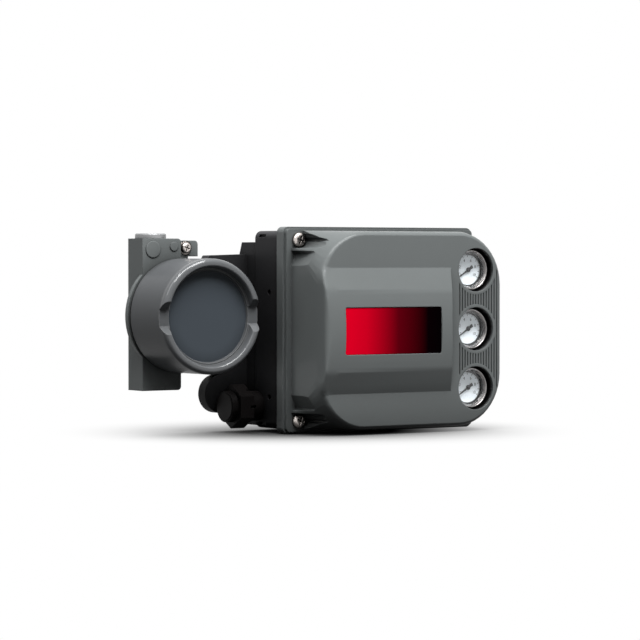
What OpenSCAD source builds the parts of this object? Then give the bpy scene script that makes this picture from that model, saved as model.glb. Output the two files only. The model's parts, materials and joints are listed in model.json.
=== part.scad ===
// Electro-pneumatic valve positioner with three gauges and a side terminal box
// Millimetres, +Z up, the front looks along -Y
// The origin is the centre of the rear mounting pattern, on the rear face

/* [Cover] */
// Width of the cover flange
cover_w = 186; // [180:1:200]
// Height of the cover flange
cover_h = 164; // [160:1:180]
// Thickness of the cover flange
flange_t = 12; // [10:0.5:14]
// Corner radius of the cover flange
flange_r = 5; // [4:0.5:8]
// Inset of the front tier of the flange
lip_inset = 1.6; // [1:0.1:2.5]
// Depth of the front tier of the flange
lip_depth = 3.2; // [2:0.1:5]
// Width of the flat border left of the bulge
border_w = 5.9; // [4:0.1:7]
// Width of the flat border right of the bulge
border_right = 1.8; // [1.8:0.1:3]
// Width of the flat border above and below the bulge
border_z = 3; // [2.5:0.1:4]
// Depth of the bulge in front of the flange
bulge_depth = 41; // [36:1:46]
// Draft of the bulge side walls over its depth
draft_x = 0.3; // [0.2:0.1:1]
// Draft of the bulge top and bottom walls over its depth
draft_z = 1; // [0.5:0.1:1.5]
// Corner radius of the bulge at the flange
bulge_base_r = 10; // [8:1:12]
// Corner radius of the bulge at its front
bulge_front_r = 42; // [40:1:43]
// Rounding of the front edge of the bulge
front_round = 4; // [3:0.5:5]
// Wall of the cover
cover_wall = 3.6; // [3:0.1:4]

/* [Middle panel] */
// Rise of the middle panel in front of the bulge
panel_rise = 9; // [6:0.5:11]
// Part of the rise that lies in the crown of the panel
panel_crown = 2.6; // [1:0.1:3]
// Half height of the crowned face of the middle panel
panel_half = 32.5; // [28:0.5:35]
// Height of each sloping flank of the panel
flank_h = 17; // [12:0.5:18]
// Length of the sloping end beside the gauges
end_slope = 6; // [4:0.5:7]
// Distance from the panel face to the gauge openings
panel_gauge_gap = 13.3; // [11:0.1:15]
// Width of the label window
label_w = 93; // [80:1:95]
// Height of the label window
label_h = 37; // [30:0.5:40]
// Depth of the label window
label_depth = 1.2; // [0.8:0.1:1.5]
// Distance from the left wall to the label window
label_gap = 18; // [14:0.5:20]

/* [Gauges] */
// Distance from the right edge of the cover to the gauge axes
gauge_edge = 28.2; // [27:0.1:30]
// Distance from the top edge of the cover to the top gauge axis
gauge_end = 34.3; // [33:0.1:36]
// Diameter of the gauge openings in the cover
gauge_hole_d = 35; // [34:0.5:36]
// Diameter of the gauge bezels
gauge_d = 33.2; // [32:0.1:33.4]
// Diameter of the gauge dials
dial_d = 26; // [24:0.5:26]
// Depth of the bezel behind the bulge front
gauge_sunk = 6; // [5:0.5:8]
// Depth of the gauge cases
gauge_depth = 21; // [19:0.5:23]
// Angle of the resting pointers, from the right, turning left
pointer_angle = 212; // [200:1:230]
// Number of grooves in the ribbed strips
groove_count = 15; // [9:1:16]
// Width of each groove
groove_w = 1.1; // [0.8:0.1:1.3]

/* [Housing] */
// Overhang of the cover flange over the housing
overhang = 3; // [2:0.5:4]
// Depth of the housing box
box_depth = 34.5; // [32:0.5:40]
// Depth of the rear block
block_depth = 25; // [24:0.5:28]
// Wall of the housing box
housing_wall = 6; // [5:0.5:7]
// Thickness of the cover gasket
gasket_t = 1.5; // [1:0.1:2]
// Width of the feedback slot
slot_w = 16; // [12:0.5:18]
// Depth of the feedback slot
slot_depth = 18; // [14:0.5:19]
// Distance between the rear mounting holes along X
mount_x = 80; // [70:1:90]
// Distance between the rear mounting holes along Z
mount_z = 90; // [80:1:96]
// Thickness of the wing that carries the terminal box
wing_t = 10.5; // [9.5:0.1:10.5]
// Radius of the drilled pneumatic ports
port_r = 5.65; // [5:0.05:6]

/* [Terminal box] */
// Gap between the cover and the terminal cap
terminal_gap = 29.4; // [28:0.1:36]
// Height of the cap axis above the origin
terminal_z = 12; // [10:0.5:14]
// Radius of the terminal cap
cap_r = 44.8; // [44:0.1:46]
// Length of the terminal cap
cap_len = 49; // [46:0.5:54]
// Thickness of the cap seal
seal_t = 3; // [2.5:0.1:3.5]
// Overhang of the collar over the cap
collar_over = 0.8; // [0.5:0.1:1.5]
// Wall of the terminal cap over its thread
cap_wall = 6; // [5:0.1:7]
// Length of the threaded spigot
spigot_len = 24; // [20:0.5:26]
// Depth of the terminal box behind the collar front
box_back = 22.5; // [21:0.5:24]
// Angle of the wrench notches
notch_angle = 1; // [0:1:20]
// Width of the conduit column
column_w = 35; // [33:0.5:37]
// Rise of the conduit column above the cap
column_rise = 15.7; // [14:0.1:17]
// Drop of the conduit column below the cap
column_drop = 13.7; // [12:0.1:15]
// Radius of the drilled conduit entries
conduit_r = 9.2; // [8.5:0.1:9.5]
// Radius of the conduit plug head
plug_r = 12.2; // [11.5:0.1:12.5]

/* [Vent] */
// Radius over the corners of the vent hexagon
vent_hex_r = 17.6; // [15:0.1:17.6]
// Length of the vent hexagon
vent_hex_len = 12.5; // [10:0.5:14]
// Radius of the round vent face
vent_face_r = 12.4; // [11:0.1:13]
// Length of the vent nipple outside the housing
vent_neck_len = 12; // [11:0.5:14]

/* [Hidden] */
$fn = 64;
eps = 0.5;
fit = 0.05;
seat = 0.1;

// Planes along Y, from the rear face to the front
box_back_y = -block_depth;
box_front_y = box_back_y - box_depth;
cover_back_y = box_front_y - gasket_t;
flange_y = cover_back_y - flange_t;
frame_y = flange_y - bulge_depth;
panel_y = frame_y - panel_rise;

// Housing
housing_w = cover_w - 2 * overhang;
housing_h = cover_h - 2 * overhang;
housing_r = 6;
floor_t = 6;
floor_y = box_back_y - floor_t;
rear_wall = 8;
block_inset = 1;
block_top = housing_h / 2 - 9;
block_bottom = -housing_h / 2 + 2;
block_slant = 3.5;
block_left = -housing_w / 2 + block_inset;
cavity_w = housing_w - 44;
cavity_h = housing_h - 40;
slot_wall = 3;
boss_r = 7;
boss_len = 19;
mount_boss_r = 8.5;
mount_hole_r = 3.4;
mount_depth = 16;
port_y = box_front_y + 15;
port_boss_r = 10;
port_inner_x = housing_w / 2 - 12;

// Cover screws
screw_x = cover_w / 2 - 12.5;
screw_z = cover_h / 2 - 10.5;
m6_r = 2.95;
m6_head_r = 5.9;
m6_head_h = 3.8;
m6_clear = 3.3;
screw_len = flange_t + gasket_t + 14;
pocket_r = 6.4;
pocket_tip = 8.4;
pocket_rib = 2;
wedge_w = 4.6;
wedge_h = 13;

// Bulge at its base and front
base_left = -cover_w / 2 + border_w;
base_right = cover_w / 2 - border_right;
base_half = cover_h / 2 - border_z;
left_x = base_left + draft_x;
right_x = base_right - draft_x;
front_half = base_half - draft_z;
hollow_w = -2 * (left_x + cover_wall);
hollow_h = 2 * (front_half - cover_wall);
hollow_r = bulge_front_r - cover_wall;

// Gauges
gauge_x = cover_w / 2 - gauge_edge;
gauge_pitch = cover_h / 2 - gauge_end;
gauge_z = [gauge_pitch, 0, -gauge_pitch];
bezel_y = frame_y + gauge_sunk;
lens_t = 1.2;
lens_r = dial_d / 2 + 1.2;
lens_y = bezel_y + 2.4;
dial_t = 0.8;
dial_y = lens_y + lens_t + 2.4;
pointer_y = lens_y + lens_t + 0.9;
pointer_t = 0.6;
spindle_r = 0.75;
case_back_y = bezel_y + gauge_depth;
manifold_y = case_back_y + 8;
stem_r = 4.9;
stem_len = 9;
well_wall = 2.2;
panel_right = gauge_x - gauge_hole_d / 2 - panel_gauge_gap;
label_left = left_x + label_gap;
label_x = label_left + label_w / 2;
label_drop = panel_crown * pow(label_h / 2 / panel_half, 2);
label_y = panel_y + label_drop + label_depth;
label_t = 0.8;

// Module base and what it carries
module_t = 8;
module_y = floor_y - module_t;
module_w = cavity_w + 16;
module_h = cavity_h + 18;
module_screw_x = 40;
module_screw_z = cavity_h / 2 + 4.5;
m3_r = 1.5;
m3_clear = 1.8;
m3_head_r = 2.8;
m3_head_h = 2.2;
m4_r = 1.95;
m4_clear = 2.2;
m4_head_r = 3.5;
m4_head_h = 2.6;
bar_right = port_inner_x - 2;
bar_left = gauge_x - 14;
bar_half = gauge_pitch + 10;
sheet_t = 1;
converter_w = 42;
converter_z = cavity_h / 2 - converter_w / 2 - 2;
converter_depth = 34;
converter_foot = 7;
relay_w = 50;
relay_z = -cavity_h / 2 + relay_w / 2 + 4;
relay_depth = 38;
relay_foot = 9;
relay_disc_r = 8;
relay_disc_t = 4;
relay_pin_r = 2;
board_x = -52;
board_w = 40;
board_h = cavity_h - 6;
board_edge = 5;
board_t = 1.6;
board_post = 12;
board_y = module_y - board_post;
sensor_w = 22;
sensor_h = 30;
sensor_depth = 10;
sensor_x = -slot_w / 2 - slot_wall - sensor_w / 2 - 1;

// Terminal box
terminal_x = -cover_w / 2 - terminal_gap - cap_r;
wing_y = -wing_t;
collar_y = wing_y - box_back;
collar_r = cap_r + collar_over;
collar_len = 4;
cap_y = collar_y - seal_t;
cap_front_y = cap_y - cap_len;
thread_gap = 0.5;
spigot_r = cap_r - cap_wall - thread_gap;
chamber_r = spigot_r - 4;
barrel_r = cap_r - 13.8;
chamber_back_r = barrel_r - 4;
chamber_y = wing_y - 5.5;
column_left = terminal_x - barrel_r - 1.3;
column_top = terminal_z + cap_r + column_rise;
column_bottom = terminal_z - cap_r - column_drop;
column_back_y = collar_y + 25;
column_round = 4;
column_corner = 3;
wing_left = column_left + 9.5;
wing_half = 30;
wing_round = 12;
conduit_x = column_left + 14.7;
conduit_y = collar_y + 12.5;
conduit_len = 37;
ear_back = 5;
ear_right = column_left + 53.5;
ear_top = column_top - 1.5;
ear_bottom = column_top - 14;
earth_x = column_left + 42.3;
earth_z = column_top - 7.4;
earth_recess_r = 5.6;
earth_recess = 1;
earth_y = collar_y + ear_back + earth_recess;
plug_len = 14;
terminal_board_y = chamber_y - 6;
terminal_board_t = 2;
block_h = 20;
block_t = 18;
clamp_count = 5;
post_x = 2;
post_z = chamber_back_r - 6.5;
block_w = 2 * (post_z - 5.5);
box_screw = (barrel_r - 7) * cos(45);
box_screw_seat = wing_t - 5;
cable_r = 2.4;
cable_way = cable_r + 0.4;
cable_y = -rear_wall / 2 - 0.6;
cable_in_x = terminal_x + chamber_back_r - 5;
cable_out_x = -cavity_w / 2 + 6;

// Vent
vent_z = -housing_h / 2 + 17.7;
vent_y = wing_y - vent_hex_r * cos(30) - 1.2;
vent_neck_r = 12;
vent_thread_r = 8;
vent_x = -housing_w / 2;
vent_thread_len = 13;
vent_boss_r = 11;

/* Shapes that repeat */

// Round bar along Y between two planes
module bar_y(r, y0, y1, x = 0, z = 0) {
    translate([x, y0, z])
        rotate([-90, 0, 0])
            cylinder(r = r, h = y1 - y0);
}

// Round bar along X between two planes
module bar_x(r, x0, x1, y = 0, z = 0) {
    translate([x0, y, z])
        rotate([0, 90, 0])
            cylinder(r = r, h = x1 - x0);
}

// Box from its lowest to its highest corner
module block(low, high) {
    translate(low)
        cube(high - low);
}

// Flat outline in X and Z, thick along Y between two planes
module slab(y0, y1) {
    translate([0, y1, 0])
        rotate([90, 0, 0])
            linear_extrude(height = y1 - y0)
                children();
}

// Rectangle with round corners, centred
module round_rect(w, h, r) {
    square([w - 2 * r, h], center = true);
    square([w, h - 2 * r], center = true);
    for (sx = [-1, 1], sz = [-1, 1])
        translate([sx * (w / 2 - r), sz * (h / 2 - r)])
            circle(r);
}

// Round corners of one level of the bulge, as thin discs
module bulge_level(left, right, half, r, y) {
    for (x = [left + r, right - r], sz = [-1, 1])
        bar_y(r, y, y + 0.02, x, sz * (half - r), $fn = 48);
}

// Points of an arc, from angle a0 to a1
function arc(x, y, r, a0, a1, steps = 5) =
    [for (i = [0:steps]) let (a = a0 + (a1 - a0) * i / steps) [x + r * cos(a), y + r * sin(a)]];

// Rise from 0 to 1 that starts and ends softly
function ease(t) =
    t < 0.25 ? 8 / 3 * t * t : t > 0.75 ? 1 - 8 / 3 * (1 - t) * (1 - t) : 4 / 3 * (t - 0.125);

// Steps along a soft rise, closer where it bends
soft_bend = [for (i = [0:8]) 0.25 * pow(i / 8, 1.5)];
soft_steps = concat(soft_bend, [for (i = [8:-1:0]) 1 - soft_bend[i]]);

// Child copied to the four corners of a rectangle in X and Z
module four(x, z) {
    for (sx = [-1, 1], sz = [-1, 1])
        translate([sx * x, 0, sz * z])
            children();
}

// Child mirrored about the X axis and the Z axis into corners
module corners(sides = [0, 1]) {
    for (mx = sides, mz = [0, 1])
        mirror([mx, 0, 0])
            mirror([0, 0, mz])
                children();
}

// Pan head screw along +Y with a cross recess, its head seat at y = 0
module pan_screw(r, len, head_r, head_h) {
    difference() {
        union() {
            bar_y(r, -head_h / 2, len);
            rotate([90, 0, 0])
                rotate_extrude()
                    polygon(concat([[0, 0], [head_r, 0], [head_r, head_h * 0.35]],
                        arc(head_r - head_h * 0.65, head_h * 0.35, head_h * 0.65, 0, 90),
                        [[0, head_h]]));
        }
        cross_recess(head_r, head_h);
    }
}

// Cross cut into the front of a screw head
module cross_recess(head_r, head_h) {
    for (turn = [20, 110])
        rotate([0, turn, 0])
            translate([-head_r * 0.55, -head_h - eps, -head_r * 0.1])
                cube([head_r * 1.1, head_h * 0.55 + eps, head_r * 0.2]);
}

// Cap screw along -Y with a hexagon socket, its head seat at y = 0
module cap_screw(r, len, head_r, head_h) {
    difference() {
        union() {
            bar_y(r, -len, eps);
            bar_y(head_r, 0, head_h);
        }
        bar_y(head_r * 0.55, head_h * 0.5, head_h + eps, $fn = 6);
    }
}

/* Housing */

// Outline of the rear wing, in X and Z
module wing_outline() {
    root_x = -cavity_w / 2;
    reach_x = -housing_w / 2 - 34;
    lobe_r = 15.5;
    lobe_x = -housing_w / 2 - 23;
    lobe_z = vent_z + 9.5;
    wing_w = terminal_x + box_screw + 12 - wing_left;
    polygon([[root_x, 61], [reach_x, 59.3], [reach_x - 12, terminal_z + wing_half],
        [terminal_x, terminal_z + wing_half], [terminal_x, terminal_z - wing_half],
        [reach_x, lobe_z + lobe_r], [root_x, lobe_z + lobe_r]]);
    translate([wing_left + wing_w / 2, terminal_z])
        round_rect(wing_w, 2 * wing_half, wing_round);
    translate([lobe_x, lobe_z])
        circle(lobe_r);
    translate([lobe_x, lobe_z - lobe_r])
        square([root_x - lobe_x, 2 * lobe_r + eps]);
}

// Rear block with its slanted rear edges
module rear_block() {
    rotate([90, 0, 90])
        translate([0, 0, block_left])
            linear_extrude(height = -2 * block_left)
                polygon([[box_back_y - eps, block_bottom], [box_back_y - eps, block_top],
                    [-block_slant, block_top], [0, block_top - 9],
                    [0, block_bottom + 5], [-block_slant, block_bottom]]);
}

module housing() {
    color([0.30, 0.29, 0.29])
    difference() {
        union() {
            difference() {
                union() {
                    slab(box_front_y, box_back_y)
                        round_rect(housing_w, housing_h, housing_r);
                    rear_block();
                    slab(wing_y, 0)
                        wing_outline();
                }
                slab(box_front_y - eps, floor_y)
                    round_rect(housing_w - 2 * housing_wall, housing_h - 2 * housing_wall, 5);
                slab(floor_y - eps, -rear_wall)
                    round_rect(cavity_w, cavity_h, 6);
            }
            // Walls of the feedback slot inside the rear block
            block([-slot_w / 2 - slot_wall, -slot_depth - slot_wall, -cavity_h / 2 - eps],
                [slot_w / 2 + slot_wall, -rear_wall + eps, cavity_h / 2 + eps]);
            four(mount_x / 2, mount_z / 2)
                bar_y(mount_boss_r, -mount_depth - 4, -rear_wall + eps);
            four(screw_x, screw_z)
                bar_y(boss_r, box_front_y, box_front_y + boss_len);
            for (z = gauge_z)
                bar_x(port_boss_r, port_inner_x, housing_w / 2 - eps, port_y, z);
            bar_x(vent_boss_r, vent_x + 1, vent_x + vent_thread_len, vent_y, vent_z);
            // Pads for the travel sensor
            for (sz = [-1, 1])
                bar_y(4, -rear_wall - 2, -rear_wall + eps, sensor_x, sz * (sensor_h / 2 - 4));
        }
        block([-slot_w / 2, -slot_depth, -housing_h], [slot_w / 2, eps, housing_h]);
        four(mount_x / 2, mount_z / 2)
            bar_y(mount_hole_r, -mount_depth, eps);
        four(screw_x, screw_z)
            bar_y(m6_r + fit, box_front_y - eps, box_front_y + 15);
        for (z = gauge_z)
            bar_x(port_r, port_inner_x - eps, housing_w / 2 + eps, port_y, z);
        four(module_screw_x, module_screw_z)
            bar_y(m4_r + fit, floor_y - eps, floor_y + 9);
        for (sz = [-1, 1])
            bar_y(1.5 + fit, -rear_wall - 2 - eps, -rear_wall + 4, sensor_x, sz * (sensor_h / 2 - 4));
        // Vent entry, with its drilled way into the cavity
        bar_x(vent_thread_r + fit, vent_x - eps, vent_x + vent_thread_len, vent_y, vent_z);
        bar_x(5, vent_x + vent_thread_len - eps, -cavity_w / 2 + 6, vent_y, vent_z);
        // Tapped test holes and cast notches in the left wall
        for (z = [housing_h / 2 - 49, -housing_h / 2 + 25.3])
            bar_x(2.2, -housing_w / 2 - eps, -housing_w / 2 + 4, box_front_y + 14, z);
        for (sz = [-1, 1])
            block([-housing_w / 2 - eps, box_back_y - 15, sz * (housing_h / 2 - 4) - 1.2],
                [-housing_w / 2 + 2, box_back_y - 5, sz * (housing_h / 2 - 4) + 1.2]);
        wing_holes();
    }
}

// Screw holes, cable way and seal seat in the wing
module wing_holes() {
    translate([terminal_x, 0, terminal_z])
        four(box_screw, box_screw) {
            bar_y(m4_clear + 0.5, wing_y - eps, eps);
            bar_y(4.6, -box_screw_seat, eps);
        }
    bar_x(cable_way, cable_in_x - cable_way, cable_out_x + cable_way, cable_y, terminal_z);
    bar_y(cable_way, wing_y - eps, cable_y, cable_in_x, terminal_z);
    bar_y(cable_way, -rear_wall - eps, cable_y, cable_out_x, terminal_z);
}

module cover_gasket() {
    color([0.08, 0.08, 0.08])
    difference() {
        slab(cover_back_y, box_front_y)
            round_rect(housing_w - 1, housing_h - 1, housing_r);
        slab(cover_back_y - eps, box_front_y + eps)
            round_rect(hollow_w, hollow_h, hollow_r);
        four(screw_x, screw_z)
            bar_y(m6_clear, cover_back_y - eps, box_front_y + eps);
    }
}

/* Cover */

// Convex outer form of the bulge, from its base to its rounded front
module bulge_form() {
    difference() {
        hull() {
            bulge_level(base_left, base_right, base_half, bulge_base_r, flange_y + 1);
            for (a = [0, 14, 28, 42, 56, 70, 82, 94])
                let (inset = front_round * (1 - cos(a)))
                    bulge_level(left_x + inset, right_x - inset, front_half - inset, bulge_front_r - inset,
                        frame_y + front_round * (1 - sin(a)) - a / 600);
        }
        // The front is one flat plane
        block([-cover_w, panel_y, -cover_h], [cover_w, frame_y, cover_h]);
    }
}

// Middle panel: a crowned profile along X cut by an end profile along Z
module panel_form(shrink = 0) {
    round = 5;
    foot_y = frame_y + front_round + 1;
    base_y = frame_y + shrink;
    top_y = panel_y + shrink;
    end_x = panel_right - shrink;
    outer_z = panel_half + flank_h;
    intersection() {
        rotate([90, 0, 90])
            translate([0, 0, left_x + shrink])
                linear_extrude(height = cover_w)
                    polygon(concat([[foot_y, -outer_z], [base_y, -outer_z]],
                        [for (t = [-1:1/8:1]) [top_y + panel_crown * t * t, panel_half * t]],
                        [[base_y, outer_z], [foot_y, outer_z]]));
        translate([0, 0, -cover_h / 2])
            linear_extrude(height = cover_h)
                polygon(concat([[left_x + shrink, foot_y]],
                    arc(left_x + shrink + round + 0.4, top_y + round, round, 180, 270, 7),
                    [for (t = soft_steps) [end_x + end_slope * t, top_y - (top_y - base_y) * ease(t)]],
                    [[end_x + end_slope, foot_y]]));
    }
}

// Pockets for the cover screws, open to the corner, and the wedge pockets in the left wall
module corner_pockets() {
    rib_z = screw_z - pocket_r - pocket_rib;
    wall_x = -base_left;
    corners() {
        bar_y(pocket_r, panel_y, flange_y, screw_x, screw_z);
        block([screw_x, panel_y, screw_z - pocket_r], [cover_w, flange_y, cover_h]);
        block([screw_x - 4, panel_y, screw_z], [cover_w, flange_y, cover_h]);
        slab(panel_y, flange_y)
            polygon([[screw_x - pocket_tip, screw_z - 0.6], [screw_x, screw_z - pocket_r + 1.2],
                [screw_x, screw_z + pocket_r - 1.2], [screw_x - pocket_tip, screw_z + 0.6]]);
    }
    corners([1])
        slab(panel_y, flange_y + 1.5)
            polygon([[wall_x + border_w / 2, rib_z], [wall_x - wedge_w, rib_z - 0.6],
                [wall_x - wedge_w, rib_z - 1.8], [wall_x + 0.4, rib_z - wedge_h],
                [wall_x + border_w / 2, rib_z - wedge_h]]);
}

// Fine vertical grooves between the gauge openings
module gauge_grooves() {
    land_r = gauge_hole_d / 2 + 2.4;
    first_x = gauge_x - gauge_hole_d / 2 + groove_w;
    last_x = right_x - front_round - groove_w;
    difference() {
        for (i = [0:groove_count - 1])
            translate([first_x + (last_x - first_x) * i / (groove_count - 1), frame_y, 0])
                cube([groove_w, 1.8, 2 * gauge_pitch], center = true);
        for (z = gauge_z)
            bar_y(land_r, frame_y - 2, frame_y + 2, gauge_x, z);
    }
}

module front_cover() {
    color([0.36, 0.37, 0.38])
    difference() {
        union() {
            slab(flange_y + lip_depth, cover_back_y)
                round_rect(cover_w, cover_h, flange_r);
            slab(flange_y, flange_y + lip_depth + eps)
                round_rect(cover_w - 2 * lip_inset, cover_h - 2 * lip_inset, flange_r - lip_inset);
            difference() {
                bulge_form();
                corner_pockets();
            }
            panel_form();
        }
        difference() {
            union() {
                slab(frame_y + cover_wall, cover_back_y + eps)
                    round_rect(hollow_w, hollow_h, hollow_r);
                panel_form(cover_wall);
            }
            for (z = gauge_z)
                bar_y(gauge_hole_d / 2 + well_wall, frame_y, bezel_y + 8, gauge_x, z);
        }
        for (z = gauge_z)
            bar_y(gauge_hole_d / 2, frame_y - eps, bezel_y + 9, gauge_x, z);
        gauge_grooves();
        four(screw_x, screw_z)
            bar_y(m6_clear, flange_y - eps, cover_back_y + eps);
        slab(panel_y - eps, label_y)
            translate([label_x, 0])
                round_rect(label_w, label_h, 1.5);
    }
}

module cover_screws() {
    color([0.80, 0.80, 0.80])
    four(screw_x, screw_z)
        translate([0, flange_y, 0])
            pan_screw(m6_r, screw_len, m6_head_r, m6_head_h);
}

module label_plate() {
    color([0.75, 0.02, 0.12])
    slab(label_y - label_t, label_y)
        translate([label_x, 0])
            round_rect(label_w - 2 * seat, label_h - 2 * seat, 1.4);
}

/* Gauges */

// Case with bezel, stem and the bush that carries the pointer
module gauge_case(z) {
    can_r = gauge_d / 2 - 2;
    color([0.72, 0.70, 0.68])
    translate([gauge_x, 0, z])
    difference() {
        union() {
            rotate([90, 0, 0])
                rotate_extrude()
                    polygon([[0, -manifold_y - stem_len], [stem_r, -manifold_y - stem_len],
                        [stem_r, -case_back_y - 1], [can_r, -case_back_y - 1], [can_r, -bezel_y - 5],
                        [gauge_d / 2, -bezel_y - 5],
                        [gauge_d / 2, -bezel_y - 0.8], [gauge_d / 2 - 0.8, -bezel_y], [0, -bezel_y]]);
            bar_y(7.4, case_back_y - eps, manifold_y - 1, $fn = 6);
        }
        // Sloping inner lip in front of the lens
        translate([0, bezel_y - eps, 0])
            rotate([-90, 0, 0])
                cylinder(r1 = gauge_d / 2 - 1.2, r2 = lens_r - 0.6, h = lens_y - bezel_y + eps + 0.02);
        bar_y(lens_r + 0.1, lens_y, lens_y + lens_t + seat / 2);
        bar_y(dial_d / 2 + 0.3, lens_y, dial_y + dial_t);
        bar_y(spindle_r + 0.04, dial_y, dial_y + dial_t + 4);
    }
}

module gauge_dial(z) {
    color([0.90, 0.91, 0.92])
    translate([gauge_x, 0, z])
    difference() {
        bar_y(dial_d / 2 + 0.2, dial_y, dial_y + dial_t - seat / 2);
        bar_y(spindle_r + 0.4, dial_y - eps, dial_y + dial_t + eps);
        // Stop pin hole at the low end of the scale
        rotate([0, -pointer_angle + 14, 0])
            bar_y(0.5, dial_y - eps, dial_y + dial_t + eps, dial_d / 2 - 4, 0);
    }
}

// Pointer with a tail, turning on its spindle in the case
module gauge_pointer(z) {
    tip = dial_d / 2 - 2;
    tail = 5;
    color([0.06, 0.06, 0.07])
    translate([gauge_x, 0, z]) {
        rotate([0, -pointer_angle, 0])
            slab(pointer_y, pointer_y + pointer_t)
                union() {
                    polygon([[-tail, -1.3], [-1, -0.8], [tip, -0.25], [tip, 0.25], [-1, 0.8], [-tail, 1.3]]);
                    circle(2);
                }
        bar_y(spindle_r, pointer_y, dial_y + dial_t + 3.5);
        bar_y(1.1, pointer_y - 0.5, pointer_y + eps);
    }
}

module gauge_lens(z) {
    color([0.85, 0.92, 0.95, 0.35])
    translate([gauge_x, 0, z])
        bar_y(lens_r, lens_y + seat / 2, lens_y + lens_t);
}

/* Module base and what it carries */

module module_base() {
    color([0.62, 0.63, 0.64])
    difference() {
        union() {
            slab(module_y, floor_y)
                round_rect(module_w, module_h, 6);
            block([bar_left, manifold_y, -bar_half], [bar_right, module_y + eps, bar_half]);
            translate([board_x, 0, 0])
                four(board_w / 2 - board_edge, board_h / 2 - board_edge)
                    bar_y(3.5, board_y, module_y + eps);
        }
        for (z = gauge_z) {
            bar_y(stem_r + fit, manifold_y - eps, manifold_y + stem_len + 1, gauge_x, z);
            bar_y(2.5, manifold_y, port_y, gauge_x, z);
            bar_x(4, gauge_x, bar_right + eps, port_y, z);
        }
        four(module_screw_x, module_screw_z)
            bar_y(m4_clear, module_y - eps, floor_y + eps);
        bar_y(cable_way, module_y - eps, floor_y + eps, cable_out_x, terminal_z);
        four(converter_w / 2 - 4.5, converter_w / 2 - 4.5)
            bar_y(1.5 + fit, module_y - eps, module_y + 6, 0, converter_z);
        four(relay_w / 2 - 5, relay_w / 2 - 5)
            bar_y(m4_r + fit, module_y - eps, module_y + 6, 0, relay_z);
        translate([board_x, 0, 0])
            four(board_w / 2 - board_edge, board_h / 2 - board_edge)
                bar_y(1.5 + fit, board_y - eps, board_y + 8);
    }
}

module module_screws() {
    color([0.75, 0.75, 0.76])
    four(module_screw_x, module_screw_z)
        translate([0, module_y, 0])
            pan_screw(m4_r, module_t + 7, m4_head_r, m4_head_h);
}

// Seal rings between the housing ports and the manifold
module port_seals() {
    color([0.10, 0.10, 0.10])
    for (z = gauge_z)
        difference() {
            bar_x(port_r + 2.4, bar_right, port_inner_x, port_y, z);
            bar_x(port_r + 0.2, bar_right - eps, port_inner_x + eps, port_y, z);
        }
}

// Square sheet gasket with four screw holes and a centre port
module sheet_gasket(w, hole_r, hole_inset, z) {
    translate([0, 0, z])
    difference() {
        slab(module_y - sheet_t, module_y)
            round_rect(w, w, 4);
        four(w / 2 - hole_inset, w / 2 - hole_inset)
            bar_y(hole_r, module_y - sheet_t - eps, module_y + eps);
        bar_y(5, module_y - sheet_t - eps, module_y + eps);
    }
}

module converter_gasket() {
    color([0.12, 0.12, 0.12])
    sheet_gasket(converter_w, 1.8, 4.5, converter_z);
}

module relay_gasket() {
    color([0.12, 0.12, 0.12])
    sheet_gasket(relay_w, m4_clear, 5, relay_z);
}

module pressure_converter() {
    base_y = module_y - sheet_t;
    color([0.20, 0.21, 0.22])
    translate([0, 0, converter_z])
    difference() {
        union() {
            slab(base_y - converter_foot, base_y)
                round_rect(converter_w, converter_w, 4);
            slab(base_y - converter_depth, base_y)
                round_rect(converter_w - 18, converter_w - 6, 4);
            bar_y(8, base_y - converter_depth - 3, base_y);
        }
        four(converter_w / 2 - 4.5, converter_w / 2 - 4.5)
            bar_y(m3_clear, base_y - converter_foot - eps, base_y + eps);
    }
}

module converter_screws() {
    color([0.75, 0.75, 0.76])
    translate([0, module_y - sheet_t - converter_foot, converter_z])
        four(converter_w / 2 - 4.5, converter_w / 2 - 4.5)
            pan_screw(m3_r, converter_foot + sheet_t + 4, m3_head_r, m3_head_h);
}

module pneumatic_relay() {
    base_y = module_y - sheet_t;
    front_y = base_y - relay_depth;
    color([0.66, 0.67, 0.68])
    translate([0, 0, relay_z])
    difference() {
        union() {
            slab(base_y - relay_foot, base_y)
                round_rect(relay_w, relay_w, 6);
            bar_y(relay_w / 2 - 4, base_y - 26, base_y);
            bar_y(relay_w / 2 - 8, front_y, base_y);
            bar_y(relay_pin_r, front_y - relay_disc_t - 2, front_y + eps);
        }
        four(relay_w / 2 - 5, relay_w / 2 - 5)
            bar_y(m4_clear, base_y - relay_foot - eps, base_y + eps);
    }
}

module relay_screws() {
    color([0.75, 0.75, 0.76])
    translate([0, module_y - sheet_t - relay_foot, relay_z])
        four(relay_w / 2 - 5, relay_w / 2 - 5)
            pan_screw(m4_r, relay_foot + sheet_t + 4.5, m4_head_r, m4_head_h);
}

// Knurled disc that sets the relay's balance
module relay_adjust_disc() {
    front_y = module_y - sheet_t - relay_depth;
    teeth = 18;
    color([0.15, 0.15, 0.16])
    translate([0, 0, relay_z])
    difference() {
        bar_y(relay_disc_r, front_y - relay_disc_t - 0.3, front_y - 0.3);
        bar_y(relay_pin_r + fit, front_y - relay_disc_t - 1, front_y);
        for (i = [0:teeth - 1])
            rotate([0, i * 360 / teeth, 0])
                bar_y(0.7, front_y - relay_disc_t - 1, front_y, relay_disc_r, 0);
    }
}

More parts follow.
